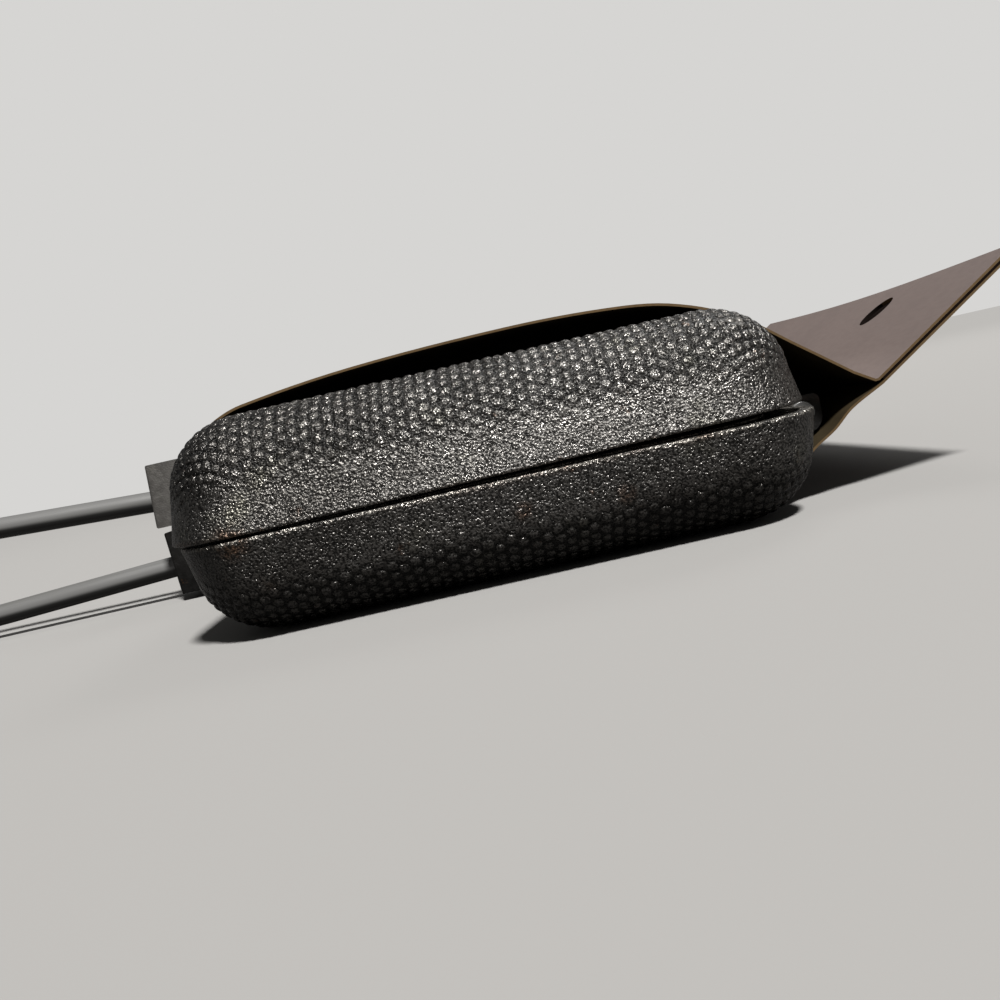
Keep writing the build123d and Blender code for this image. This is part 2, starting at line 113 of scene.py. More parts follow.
class Nodes:
    """Adds nodes to one node tree."""

    def __init__(self, tree: Tree) -> None:
        """Start with an empty tree."""
        self.tree = tree
        tree.nodes.clear()

    def add(self, kind: str, sockets: Optional[dict[Any, Any]] = None, **settings: Any) -> Node:
        """Add a node, set its properties, and fill or link its inputs.

        Args:
            kind: Type name of the node.
            sockets: Input values by name or index.
            settings: Property values.

        Returns:
            The new node.
        """
        node = self.tree.nodes.new(kind)
        for key, value in settings.items():
            setattr(node, key, value)
        self.fill(node, sockets or {})
        return node

    def fill(self, node: Node, sockets: dict[Any, Any]) -> None:
        """Fill inputs of a node.

        Args:
            node: Node that has the inputs.
            sockets: Input values by name or index; a socket as value is linked.
        """
        for key, value in sockets.items():
            if isinstance(value, Socket):
                self.tree.links.new(value, node.inputs[key])
            else:
                node.inputs[key].default_value = value

    def ramp(self, factor: Socket, low: float, high: float) -> Socket:
        """Map a factor so that it runs from 0 at low to 1 at high, and is held outside.

        Args:
            factor: Value to map.
            low: Input that gives 0.
            high: Input that gives 1.

        Returns:
            The mapped value.
        """
        return self.add("ShaderNodeMapRange", {"Value": factor, "From Min": low, "From Max": high},
                        interpolation_type="SMOOTHSTEP").outputs["Result"]

    def ramp_mm(self, length: Socket, low_mm: float, high_mm: float) -> Socket:
        """Ramp over a length in metres whose two ends are given in millimetres."""
        return self.ramp(length, low_mm * MM, high_mm * MM)

    def remap(self, value: Socket, low: float, high: float, first: float = 0.0, last: float = 1.0) -> Socket:
        """Stretch a value in a straight line.

        Args:
            value: Value to map.
            low: Result at the first input.
            high: Result at the last input.
            first: Input that gives low.
            last: Input that gives high.

        Returns:
            The mapped value.
        """
        return self.add("ShaderNodeMapRange", {"Value": value, "From Min": first, "From Max": last,
                                               "To Min": low, "To Max": high}).outputs["Result"]

    def maths(self, operation: str, first: Any, second: Any = 0.0) -> Socket:
        """Work out one step of arithmetic.

        Args:
            operation: Name of the operation.
            first: First number or socket.
            second: Second number or socket, left out where the operation takes only one.

        Returns:
            The result.
        """
        return self.add("ShaderNodeMath", {0: first, 1: second}, operation=operation).outputs[0]

    def times(self, first: Any, *others: Any) -> Socket:
        """Multiply numbers and sockets.

        Args:
            first: First factor.
            others: Further factors.

        Returns:
            The product.
        """
        for factor in others:
            first = self.maths("MULTIPLY", first, factor)
        return first

    def axis(self, vector: Socket, letter: str) -> Socket:
        """One coordinate of a vector: X, Y or Z."""
        return self.add("ShaderNodeSeparateXYZ", {"Vector": vector}).outputs[letter]

    def mix(self, factor: Any, first: Any, second: Any) -> Socket:
        """Mix two colours.

        Args:
            factor: Share of the second colour, a number or a socket.
            first: First colour in hex or linear values, or a socket.
            second: Second colour, in the same forms.

        Returns:
            The mixed colour.
        """
        first, second = (linear(tone) if isinstance(tone, str) else tone for tone in (first, second))
        return self.add("ShaderNodeMix", {0: factor, 6: first, 7: second}, data_type="RGBA").outputs[2]

    def darken(self, share: Socket, kept: float, tone: Socket) -> Socket:
        """Darken a colour toward black.

        Args:
            share: Where the darkening shows, from 0 to 1.
            kept: Part of the colour that is left where the darkening shows fully.
            tone: Colour to darken.

        Returns:
            The darkened colour.
        """
        return self.mix(share, tone, self.mix(kept, BLACK, tone))


class Paint(Nodes):
    """Nodes of one material, with its shader and the object coordinates of its textures."""

    def __init__(self, name: str) -> None:
        """Make a material with an empty shader.

        Args:
            name: Name of the material.
        """
        self.material = bpy.data.materials.new(name)
        self.material.use_nodes = True
        super().__init__(self.material.node_tree)
        self.shader = self.add("ShaderNodeBsdfPrincipled")
        self.add("ShaderNodeOutputMaterial", {"Surface": self.shader.outputs["BSDF"]})
        self.where = self.add("ShaderNodeTexCoord").outputs["Object"]

    def place(self, letter: str) -> Socket:
        """X, Y or Z of the object coordinates in metres."""
        return self.axis(self.where, letter)

    def stretch(self, scale: tuple[float, float, float]) -> Socket:
        """Object coordinates that draw a texture out along an axis whose scale is small."""
        return self.add("ShaderNodeMapping", {"Vector": self.where, "Scale": scale}).outputs["Vector"]

    def noise(self, size_mm: float, detail: float = 3.0, roughness: float = 0.55,
              where: Optional[Socket] = None) -> Socket:
        """Noise whose largest features are about a given size.

        Args:
            size_mm: Size of the largest features in millimetres.
            detail: Octaves added on top.
            roughness: Weight of the finer octaves.
            where: Coordinates in metres, if not the object coordinates.

        Returns:
            The noise value.
        """
        return self.add("ShaderNodeTexNoise",
                        {"Vector": self.where if where is None else where, "Scale": per_metre(size_mm),
                         "Detail": detail, "Roughness": roughness}).outputs["Fac"]

    def bump(self, height: Socket, depth_mm: float, strength: Any,
             below: Optional[Socket] = None) -> Socket:
        """Bump whose full height is a real depth, on top of another bump if one is given.

        Args:
            height: Height from 0 to 1.
            depth_mm: Depth of the full height in millimetres.
            strength: Share of the bump that is used, a number or a socket.
            below: Normal of a coarser bump.

        Returns:
            The bumped normal.
        """
        sockets: dict[Any, Any] = {"Height": height, "Distance": depth_mm * MM, "Strength": strength}
        if below is not None:
            sockets["Normal"] = below
        return self.add("ShaderNodeBump", sockets).outputs["Normal"]

    def finish(self, inputs: dict[str, Any]) -> Material:
        """Fill inputs of the shader and give back the finished material."""
        self.fill(self.shader, inputs)
        return self.material


@dataclass(frozen=True)
class SandCastIron:
    """Pre-seasoned grey iron as it comes from a sand mould.

    The mould's grains leave a fine lumpy skin, and the baked oil gives it a dark satin gloss, so that the eye
    sees small bright glints on near-black brown. Lugs, hinge roots and pockets are smoother. A little rust
    and a faint olive bloom show where the oil is thin. A mask is 1 where it applies and 0 elsewhere.
    """

    name: str = "sand_cast_seasoned_iron"
    dark: str = "#5f5c58"
    pale: str = "#797672"
    rust: str = "#6e4a2c"
    bloom: str = "#5f5d40"
    rim_highlight_and_wear_tone: str = "#a8a39a"
    cloud_mm: float = 30.0
    bloom_mm: float = 15.0
    spot_mm: float = 7.0
    worn_mm: float = 2.4
    ragged_mm: float = 1.6
    lump_mm: float = 1.5
    grain_mm: float = 0.44
    grain_depth_mm: float = 0.55
    lump_depth_mm: float = 0.36
    roughness: float = 0.30
    metallic: float = 0.8
    bloom_share: float = 0.3
    rust_share: float = 0.5
    rim_rust_share: float = 0.2
    rim_highlight_and_wear_share: float = 0.8
    painted_shade_kept: float = 0.65
    root_shade_kept: float = 0.17
    end_shade_kept: float = 0.4
    bottom_dark_kept: float = 0.6
    pit_shade_kept: float = 0.2
    valley_shade_and_oil_kept: float = 0.24
    walls_x_mm: tuple[float, float] = (-64.3, 63.2)
    pocket_mm: tuple[float, float] = (50.7, 100.7)
    pocket_z_mm: tuple[float, float] = (3.0, 38.4)
    parting_mm: float = 19.2
    edge_mm: float = 0.4
    parting_edge_mm: float = 0.1
    root_mm: tuple[float, float] = (0.5, 1.5)
    end_x_mm: tuple[float, float] = (-45.0, -56.0)
    end_wall_mm: tuple[float, float] = (-0.6, 0.2)
    stain_core: float = 0.3
    bottom_dark_z_mm: tuple[float, float] = (11.0, 5.0)
    rim_rust_mm: tuple[float, float] = (1.6, 0.4)
    rim_highlight_and_wear_mm: tuple[float, float] = (1.1, 0.5)
    valley_from_mm: tuple[float, float] = (7.5, 12.5)
    stains_mm: tuple[tuple[float, float, float, float], ...] = (
        (5.0, -101.5, 33.5, 1.6), (3.4, -106.5, 12.8, 2.8), (-44.4, -104.0, 10.6, 4.0),
        (-7.1, -102.0, 35.4, 1.8), (-48.8, -108.3, 18.6, 4.5), (22.0, -106.0, 12.0, 3.0))
    shade_and_oil_between_pebbles: bool = True

    def within(self, paint: Paint, letter: str, low_mm: float, high_mm: float) -> Socket:
        """Mask of what lies between two places on an axis.

        Args:
            paint: Material in the making.
            letter: Axis, X, Y or Z.
            low_mm: Lower place.
            high_mm: Upper place.

        Returns:
            The mask.
        """
        value, soft = paint.place(letter), self.edge_mm
        return paint.times(paint.ramp_mm(value, low_mm - soft, low_mm + soft),
                           paint.ramp_mm(value, high_mm + soft, high_mm - soft))

    def roughcast(self, paint: Paint) -> Socket:
        """Mask of the trays' outsides, without lugs, hinge roots and pockets.

        Args:
            paint: Material in the making.

        Returns:
            The mask.
        """
        half_x, half_y = self.pocket_mm
        hollow = paint.times(self.within(paint, "X", -half_x, half_x),
                             self.within(paint, "Y", -half_y, half_y),
                             self.within(paint, "Z", *self.pocket_z_mm))
        return paint.times(self.within(paint, "X", *self.walls_x_mm), paint.maths("SUBTRACT", 1.0, hollow))

    def off_parting(self, paint: Paint) -> Socket:
        """Distance from the parting plane in metres."""
        return paint.maths("ABSOLUTE", paint.maths("SUBTRACT", paint.place("Z"), self.parting_mm * MM))

    def roots(self, paint: Paint, lower: Socket) -> Socket:
        """Mask of the painted shade on the lower socket lug and the painted shadow in the hinge roots.

        Args:
            paint: Material in the making.
            lower: Mask of the lower half.

        Returns:
            The mask.
        """
        across = paint.place("X")
        left, right = self.walls_x_mm
        near, far = self.root_mm
        lug = paint.times(paint.ramp_mm(across, left - near, left - far), lower)
        return paint.maths("ADD", paint.ramp_mm(across, right + near, right + far), lug)

    def shaded_end(self, paint: Paint) -> Socket:
        """Mask of the painted shade on the trays' walls toward the socket lugs.

        Args:
            paint: Material in the making.

        Returns:
            The mask.
        """
        across, left = paint.place("X"), self.walls_x_mm[0]
        start, full = self.end_wall_mm
        return paint.times(paint.ramp_mm(across, *self.end_x_mm),
                           paint.ramp_mm(across, left + start, left + full))

    def rust_marks(self, paint: Paint, cloud: Socket) -> list[Socket]:
        """Masks of the rust: ragged stains, small spots, and a trace that creeps along the rims.

        Args:
            paint: Material in the making.
            cloud: Broad noise that breaks up the rims' rust.

        Returns:
            One mask for each kind of rust.
        """
        stained: Any = 0.0
        for x, y, z, radius in self.stains_mm:
            gap = paint.add("ShaderNodeVectorMath", {0: paint.where, 1: (x * MM, y * MM, z * MM)},
                            operation="DISTANCE").outputs["Value"]
            stained = paint.maths("MAXIMUM", stained, paint.ramp_mm(gap, radius, self.stain_core * radius))
        ragged = paint.ramp(paint.noise(self.ragged_mm, 3.0, 0.6), 0.35, 0.62)
        spots = paint.ramp(paint.noise(self.spot_mm, 5.0, 0.75), 0.62, 0.72)
        rims = paint.ramp_mm(self.off_parting(paint), *self.rim_rust_mm)
        return [paint.times(stained, ragged, self.rust_share), paint.times(spots, self.rust_share),
                paint.times(rims, paint.ramp(cloud, 0.5, 0.62), self.rim_rust_share)]

    def rim_highlight_and_wear_mask(self, paint: Paint, lower: Socket, roots: Socket) -> Socket:
        """Mask of the lower tray's rim, lightened as wear where the halves rub and as a painted highlight.

        Args:
            paint: Material in the making.
            lower: Mask of the lower half.
            roots: Mask of the painted shade and shadow, where the rim stays dark.

        Returns:
            The mask.
        """
        deep, shallow = self.rim_highlight_and_wear_mm
        rim = paint.ramp_mm(paint.place("Z"), self.parting_mm - deep, self.parting_mm - shallow)
        worn = paint.ramp(paint.noise(self.worn_mm, 3.0, 0.7), 0.38, 0.56)
        tray_only = paint.maths("MAXIMUM", paint.maths("SUBTRACT", self.rim_highlight_and_wear_share, roots), 0.0)
        return paint.times(rim, lower, worn, tray_only)

    def tint(self, paint: Paint) -> Socket:
        """Colour: dark seasoned iron with faint clouds, bloom, a few rust stains, painted shade, a darker
        bottom and a lit, worn rim.

        Args:
            paint: Material in the making.

        Returns:
            The colour.
        """
        cloud = paint.noise(self.cloud_mm, 4.0, 0.6)
        tone = paint.mix(paint.ramp(cloud, 0.35, 0.65), self.dark, self.pale)
        bloomed = paint.times(paint.ramp(paint.noise(self.bloom_mm, 4.0, 0.6), 0.56, 0.74), self.bloom_share)
        tone = paint.mix(bloomed, tone, self.bloom)
        parting, soft = self.parting_mm, self.parting_edge_mm
        lower = paint.ramp_mm(paint.place("Z"), parting + soft, parting - soft)
        roots = self.roots(paint, lower)
        # Painted shade: the lower half is darkened.
        tone = paint.darken(lower, self.painted_shade_kept, tone)
        # Painted shade on the lower lug, and painted shadow of the card on the hinge roots.
        tone = paint.darken(roots, self.root_shade_kept, tone)
        # Painted shade on the walls toward the socket lugs.
        tone = paint.darken(self.shaded_end(paint), self.end_shade_kept, tone)
        # Darker towards the bottom of the lower half.
        tone = paint.darken(paint.ramp_mm(paint.place("Z"), *self.bottom_dark_z_mm), self.bottom_dark_kept, tone)
        for mark in self.rust_marks(paint, cloud):
            tone = paint.mix(mark, tone, self.rust)
        # Painted highlight and wear: the lower tray's rim is lightened.
        return paint.mix(self.rim_highlight_and_wear_mask(paint, lower, roots), tone, self.rim_highlight_and_wear_tone)

    def build(self) -> Material:
        """Make the material.

        Returns:
            The finished material.
        """
        paint = Paint(self.name)
        rough = self.roughcast(paint)
        tone = self.tint(paint)
        if self.shade_and_oil_between_pebbles:
            # Painted shade and gathered oil: the iron between the pebbles is darkened.
            valley_shade_and_oil = paint.times(paint.ramp_mm(self.off_parting(paint), *self.valley_from_mm), rough)
            tone = paint.darken(valley_shade_and_oil, self.valley_shade_and_oil_kept, tone)
        grain = paint.noise(self.grain_mm, 1.5, 0.5)
        # Painted shade: the grain's pits are darkened, and its peaks stay bright.
        tone = paint.darken(paint.times(paint.ramp(grain, 0.56, 0.40), rough), self.pit_shade_kept, tone)
        lump = paint.noise(self.lump_mm, 2.0, 0.5)
        spread = paint.remap(lump, self.roughness - 0.08, self.roughness + 0.12, 0.3, 0.7)
        share = paint.remap(rough, 0.18, 1.0)
        coarse = paint.bump(lump, self.lump_depth_mm, share)
        return paint.finish({
            "Base Color": tone, "Metallic": self.metallic,
            "Roughness": paint.maths("ADD", spread, paint.remap(rough, 0.16, 0.0)),
            "Normal": paint.bump(grain, self.grain_depth_mm, share, coarse)})


@dataclass(frozen=True)
class DrawnSteel:
    """Mild steel rod, pulled through a die and darkened by oil, with painted shade underneath.

    The die leaves long fine lines. The dark skin scatters some light, so that the rod is grey where the lamp
    falls on it, with a narrow soft highlight along it; underneath it is painted near black as shade.
    """

    name: str = "darkened_drawn_steel"
    colour: str = "#737270"
    stain: str = "#656461"
    line_mm: float = 0.25
    line_depth_mm: float = 0.01
    cloud_mm: float = 3.0
    drawn_out: float = 0.02
    roughness: float = 0.33
    metallic: float = 0.35
    painted_shade_kept: float = 0.12
    underside_shade_from: tuple[float, float] = (0.12, -0.30)

    def build(self) -> Material:
        """Make the material.

        Returns:
            The finished material.
        """
        paint = Paint(self.name)
        along = paint.stretch((self.drawn_out, 1.0, 1.0))
        lines = paint.noise(self.line_mm, 2.0, 0.6, along)
        cloud = paint.noise(self.cloud_mm, 3.0, 0.5, along)
        tone = paint.mix(paint.ramp(cloud, 0.45, 0.75), self.colour, self.stain)
        upward = paint.axis(paint.add("ShaderNodeTexCoord").outputs["Normal"], "Z")
        return paint.finish({
            # Painted shade: the rod's underside is darkened by its normal.
            "Base Color": paint.darken(paint.ramp(upward, *self.underside_shade_from), self.painted_shade_kept, tone),
            "Metallic": self.metallic,
            "Roughness": paint.remap(lines, self.roughness - 0.05, self.roughness + 0.08),
            "Normal": paint.bump(lines, self.line_depth_mm, 0.5)})


@dataclass(frozen=True)
class NickelPlate:
    """Nickel plate on pressed and turned steel.

    It is a warm, slightly soft mirror with faint cloudy patches where fingers have been.
    """

    name: str = "nickel_plated_steel"
    colour: str = "#c9c5bc"
    clouded: str = "#a9a49a"
    cloud_mm: float = 5.0
    grain_mm: float = 0.4
    grain_depth_mm: float = 0.006
    roughness: float = 0.24

    def build(self) -> Material:
        """Make the material.

        Returns:
            The finished material.
        """
        paint = Paint(self.name)
        cloud = paint.noise(self.cloud_mm, 4.0, 0.6)
        return paint.finish({
            "Base Color": paint.mix(paint.ramp(cloud, 0.4, 0.8), self.colour, self.clouded),
            "Metallic": 1.0,
            "Roughness": paint.remap(cloud, self.roughness - 0.05, self.roughness + 0.12),
            "Normal": paint.bump(paint.noise(self.grain_mm, 2.0), self.grain_depth_mm, 0.5)})


@dataclass(frozen=True)
class LacqueredBeech:
    """Beech turned on a lathe and dipped in clear lacquer.

    The grain runs along the grip, with the short dark flecks that beech has, under an even soft shine.
    """

    name: str = "lacquered_beech"
    pale: str = "#c79a66"
    dark: str = "#9c6c3f"
    fleck: str = "#7a4e2a"
    ring_mm: float = 2.4
    bands_per_unit: float = 3.1
    drawn_out: float = 0.05
    wave_mm: float = 9.0
    wave_height_m: float = 0.004
    pore_mm: float = 0.5
    pore_depth_mm: float = 0.03
    roughness: float = 0.38
    coat: float = 0.35
    coat_roughness: float = 0.18

    def build(self) -> Material:
        """Make the material.

        Returns:
            The finished material.
        """
        paint = Paint(self.name)
        along = paint.stretch((self.drawn_out, 1.0, 1.0))
        wave = paint.noise(self.wave_mm, 2.0, where=along)
        bent = paint.add("ShaderNodeVectorMath",
                         {0: wave, 1: (0.0, self.wave_height_m, self.wave_height_m), 2: along},
                         operation="MULTIPLY_ADD")
        scale = per_metre(self.ring_mm) / self.bands_per_unit
        rings = paint.add("ShaderNodeTexWave", {"Vector": bent.outputs["Vector"], "Scale": scale,
                                                "Distortion": 1.5, "Detail": 2.0, "Detail Scale": 1.0},
                          wave_type="BANDS", bands_direction="Y")
        pores = paint.noise(self.pore_mm, 3.0, 0.6, along)
        tone = paint.mix(rings.outputs["Fac"], self.pale, self.dark)
        return paint.finish({
            "Base Color": paint.mix(paint.ramp(pores, 0.60, 0.72), tone, self.fleck),
            "Roughness": paint.remap(pores, self.roughness - 0.05, self.roughness + 0.15),
            "Coat Weight": self.coat, "Coat Roughness": self.coat_roughness,
            "Normal": paint.bump(pores, self.pore_depth_mm, 0.5)})


@dataclass(frozen=True)
class KraftBoard:
    """Thin brown board: a smooth tinted outside on raw kraft fibre.

    The outside is flat and matt with a faint fibre mottle. The inside and the cut edges show browner fibre.
    """

    name: str
    colour: str
    deep: str
    fibre_mm: float = 1.1
    fibre_depth_mm: float = 0.04
    fibre_share: float = 0.5
    drawn_out: float = 0.3
    cloud_mm: float = 26.0
    cloud_share: float = 0.6
    roughness: float = 0.72
    shine: float = 0.35

    def build(self) -> Material:
        """Make the material.

        Returns:
            The finished material.
        """
        paint = Paint(self.name)
        fibre = paint.noise(self.fibre_mm, 4.0, 0.65, paint.stretch((1.0, self.drawn_out, 1.0)))
        mottle = paint.times(paint.ramp(fibre, 0.35, 0.7), self.fibre_share)
        patches = paint.times(paint.ramp(paint.noise(self.cloud_mm), 0.4, 0.8), self.cloud_share)
        tone = paint.mix(mottle, self.colour, self.deep)
        return paint.finish({
            "Base Color": paint.mix(patches, tone, self.deep),
            "Roughness": self.roughness, "Specular IOR Level": self.shine,
            "Normal": paint.bump(fibre, self.fibre_depth_mm, 0.5)})


class Finishes:
    """Every finish of the iron, made once and shared by its pieces."""

    def __init__(self) -> None:
        """Build the materials."""
        self.iron = SandCastIron().build()
        self.pebbles = SandCastIron("sand_cast_pebbles", grain_depth_mm=0.40, lump_depth_mm=0.2,
                                    roughness=0.26, shade_and_oil_between_pebbles=False).build()
        self.rod = DrawnSteel().build()
        self.plate = NickelPlate().build()
        self.beech = LacqueredBeech().build()
        boards = {Ply.OUTSIDE: KraftBoard("kraft_board_outside", "#615550", "#564b47"),
                  # The inside is browner kraft, and its dark colour is also painted shade.
                  Ply.INSIDE: KraftBoard("kraft_board_inside", "#332b1c", "#282116", shine=0.1),
                  Ply.EDGE: KraftBoard("kraft_board_cut_edge", "#5c4a32", "#4a3a26", shine=0.1),
                  # Painted shade: near-black kraft for the hole's floor and the middle ply's cut edges.
                  Ply.SHADED: KraftBoard("kraft_board_in_the_hole", "#171210", "#100c0a", shine=0.0)}
        self.board = [boards[ply].build() for ply in Ply]

    def dress(self, node: str, material: Material) -> None:
        """Give a carried-over CAD node a finish.

        Args:
            node: Name of the CAD node.
            material: Finish for all its faces.
        """
        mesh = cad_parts[node].data
        mesh.materials.clear()
        mesh.materials.append(material)
        LOG.info("%s dressed in %s", node, material.name)


def new_object(name: str, data: Any) -> Object:
    """Make an object of a mesh, camera or light, and put it in the scene.

    Args:
        name: Name of the object.
        data: What it holds.

    Returns:
        The linked object.
    """
    made = bpy.data.objects.new(name, data)
    bpy.context.scene.collection.objects.link(made)
    return made


def mesh_object(name: str, vertices: Iterable[Iterable[float]], faces: Iterable[Iterable[int]],
                smooth: bool = True) -> Object:
    """Make a mesh object at the origin.

    Args:
        name: Name of the object and its mesh.
        vertices: Places in metres.
        faces: Vertex numbers of each face.
        smooth: Whether the faces are shaded smooth.

    Returns:
        The linked object.
    """
    mesh = bpy.data.meshes.new(name)
    mesh.from_pydata([tuple(v) for v in vertices], [], [tuple(f) for f in faces])
    mesh.update()
    if smooth:
        mesh.polygons.foreach_set("use_smooth", [True] * len(mesh.polygons))
    return new_object(name, mesh)


@dataclass
class PebbledSkin:
    """Close-set round pebbles cast on the outer face and upper walls of one half.

    The pebbles stand in a close hexagonal packing on the flat face. The pattern is wrapped down the rounded
    walls by length along the section, and its pebbles flatten out before the rim.
    """

    half: Half
    rim_z: float
    depth: float
    centre_x: float
    length_x: float = 125.0
    length_y: float = 218.0
    corner: float = 18.0
    draft: float = 12.0
    outer_round: float = 15.0
    pitch: float = 2.54
    pebble_sides: int = 7
    pebble_radius: float = 1.22
    pebble_height: float = 0.36
    least_kept: float = 0.05
    least_corner: float = 0.4
    fade_from: float = 12.0
    fade_to: float = 7.0
    size_spread: float = 0.22
    wander: float = 0.18
    seed: int = 7

    def section(self, run: float) -> tuple[float, float, float]:
        """Follow the wall's section down from the edge of the flat face.

        Args:
            run: Length along the section in millimetres.

        Returns:
            Distance out from the flat's edge, height over the rim, and the normal's lean in radians.
        """
        lean = math.radians(self.draft)
        turn = math.pi / 2 - lean
        arc = self.outer_round * turn
        if run <= arc:
            angle = run / self.outer_round
            return (self.outer_round * math.sin(angle), self.depth - self.outer_round * (1 - math.cos(angle)),
                    angle)
        rest = run - arc
        return (self.outer_round * math.sin(turn) + rest * math.sin(lean),
                self.depth - self.outer_round * (1 - math.cos(turn)) - rest * math.cos(lean), turn)

    def face_inset(self) -> float:
        """Distance from the rim to the edge of the flat face, seen from above."""
        lean = math.radians(self.draft)
        return self.depth * math.tan(lean) + self.outer_round * math.tan((math.pi / 2 - lean) / 2)

    def places(self) -> tuple[list[Vector], list[Vector], list[float]]:
        """Work out where each pebble stands.

        Returns:
            Places in metres, outward normals, and how much of its height each pebble keeps.
        """
        inset = self.face_inset()
        flat_corner = max(self.corner - inset, self.least_corner)
        core_x = self.length_x / 2 - inset - flat_corner
        core_y = self.length_y / 2 - inset - flat_corner
        reach = self.outer_round * math.pi / 2 + self.depth
        rows_y = self.pitch / 2
        column = self.pitch * math.sqrt(3) / 2
        count_x = int((core_x + reach) / column) + 1
        count_y = int((core_y + reach) / rows_y) + 1
        places, normals, keeps = [], [], []
        chance = np.random.default_rng(self.seed)
        for i in range(-count_x, count_x + 1):
            for j in range(-count_y, count_y + 1):
                if (i + j) % 2:
                    continue
                x, y = np.array([i * column, j * rows_y]) + chance.uniform(-self.wander, self.wander, 2)
                near_x = min(max(x, -core_x), core_x)
                near_y = min(max(y, -core_y), core_y)
                away = math.hypot(x - near_x, y - near_y)
                if away <= flat_corner:
                    place, normal, keep = (x, y, self.depth), (0.0, 0.0, 1.0), 1.0
                else:
                    out, height, angle = self.section(away - flat_corner)
                    keep = (height - self.fade_to) / (self.fade_from - self.fade_to)
                    if keep <= self.least_kept:
                        continue
                    keep = min(keep, 1.0)
                    nx, ny = (x - near_x) / away, (y - near_y) / away
                    place = (near_x + nx * (flat_corner + out), near_y + ny * (flat_corner + out), height)
                    normal = (nx * math.sin(angle), ny * math.sin(angle), math.cos(angle))
                side = self.half.value
                places.append(Vector(((self.centre_x + place[0]) * MM, place[1] * MM,
                                      (self.rim_z + side * place[2]) * MM)))
                normals.append(Vector((normal[0], normal[1], side * normal[2])))
                keeps.append(keep)
        return places, normals, keeps

    def pebble(self) -> Object:
        """Make one low round pebble, whose foot is sunk in the casting.

        Returns:
            The pebble, one unit in radius and height.
        """
        around = self.pebble_sides
        rings = [(0.0, 1.0, 1), (0.40, 0.86, around), (0.76, 0.42, around), (1.0, -0.25, around)]
        vertices: list[tuple[float, float, float]] = []
        for share, height, sides in rings:
            for k in range(sides):
                angle = 2 * math.pi * k / sides
                vertices.append((share * math.cos(angle), share * math.sin(angle), height))
        faces: list[tuple[int, ...]] = [(0, 1 + k, 1 + (k + 1) % around) for k in range(around)]
        for ring in (1, 1 + around):
            faces += [(ring + k, ring + around + k, ring + around + (k + 1) % around, ring + (k + 1) % around)
                      for k in range(around)]
        return mesh_object("pebble_" + self.half.word, vertices, faces)

    def tree(self, pebble: Object, material: Material) -> Tree:
        """Node group that sets a pebble on every point.

        Args:
            pebble: Object that is repeated.
            material: Finish of the pebbles.

        Returns:
            The geometry node group.
        """
        group = bpy.data.node_groups.new("pebbles_" + self.half.word, "GeometryNodeTree")
        group.is_modifier = True
        face = group.interface
        face.new_socket("Geometry", in_out="INPUT", socket_type="NodeSocketGeometry")
        for name in ("Pebble Radius", "Pebble Height", "Size Spread"):
            face.new_socket(name, in_out="INPUT", socket_type="NodeSocketFloat")
        face.new_socket("Seed", in_out="INPUT", socket_type="NodeSocketInt")
        face.new_socket("Geometry", in_out="OUTPUT", socket_type="NodeSocketGeometry")
        nodes = Nodes(group)
        start = nodes.add("NodeGroupInput").outputs
        normal = nodes.add("GeometryNodeInputNamedAttribute", {"Name": "outward"}, data_type="FLOAT_VECTOR")
        keep = nodes.add("GeometryNodeInputNamedAttribute", {"Name": "keep"}, data_type="FLOAT")
        aligned = nodes.add("FunctionNodeAlignRotationToVector", {"Vector": normal.outputs["Attribute"]},
                            axis="Z")
        least = nodes.maths("SUBTRACT", 1.0, start["Size Spread"])
        chance = nodes.add("FunctionNodeRandomValue", {2: least, 3: 1.0, "Seed": start["Seed"]},
                           data_type="FLOAT").outputs[1]
        wide = nodes.times(start["Pebble Radius"], chance)
        tall = nodes.times(start["Pebble Height"], chance, keep.outputs["Attribute"])
        size = nodes.add("ShaderNodeCombineXYZ", {"X": wide, "Y": wide, "Z": tall})
        points = nodes.add("GeometryNodeMeshToPoints", {"Mesh": start["Geometry"]})
        shape = nodes.add("GeometryNodeObjectInfo", {"Object": pebble})
        placed = nodes.add("GeometryNodeInstanceOnPoints", {
            "Points": points.outputs["Points"], "Instance": shape.outputs["Geometry"],
            "Rotation": aligned.outputs["Rotation"], "Scale": size.outputs["Vector"]})
        real = nodes.add("GeometryNodeRealizeInstances", {"Geometry": placed.outputs["Instances"]})
        finish = nodes.add("GeometryNodeSetMaterial",
                           {"Geometry": real.outputs["Geometry"], "Material": material})
        nodes.add("NodeGroupOutput", {"Geometry": finish.outputs["Geometry"]})
        return group

    def build(self, finishes: Finishes) -> None:
        """Make the pebbles of this half as one plain mesh that rides on its body.

        Args:
            finishes: Shared finishes.
        """
        places, normals, keeps = self.places()
        points = mesh_object("pebble_points_" + self.half.word, places, [])
        outward = points.data.attributes.new("outward", "FLOAT_VECTOR", "POINT")
        outward.data.foreach_set("vector", [c for n in normals for c in n])
        keep = points.data.attributes.new("keep", "FLOAT", "POINT")
        keep.data.foreach_set("value", keeps)
        pebble = self.pebble()
        group = self.tree(pebble, finishes.pebbles)
        modifier = points.modifiers.new("pebbles", "NODES")
        modifier.node_group = group
        values = {"Pebble Radius": self.pebble_radius * MM, "Pebble Height": self.pebble_height * MM,
                  "Size Spread": self.size_spread, "Seed": self.seed}
        for item in group.interface.items_tree:
            if item.in_out == "INPUT" and item.name in values:
                modifier[item.identifier] = values[item.name]
        piece = plain_mesh(points, self.half.word + "_pebbles")
        bpy.data.objects.remove(pebble)
        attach(piece, self.half.word + "_half")
        LOG.info("%s: %d pebbles, %d faces", piece.name, len(places), len(piece.data.polygons))


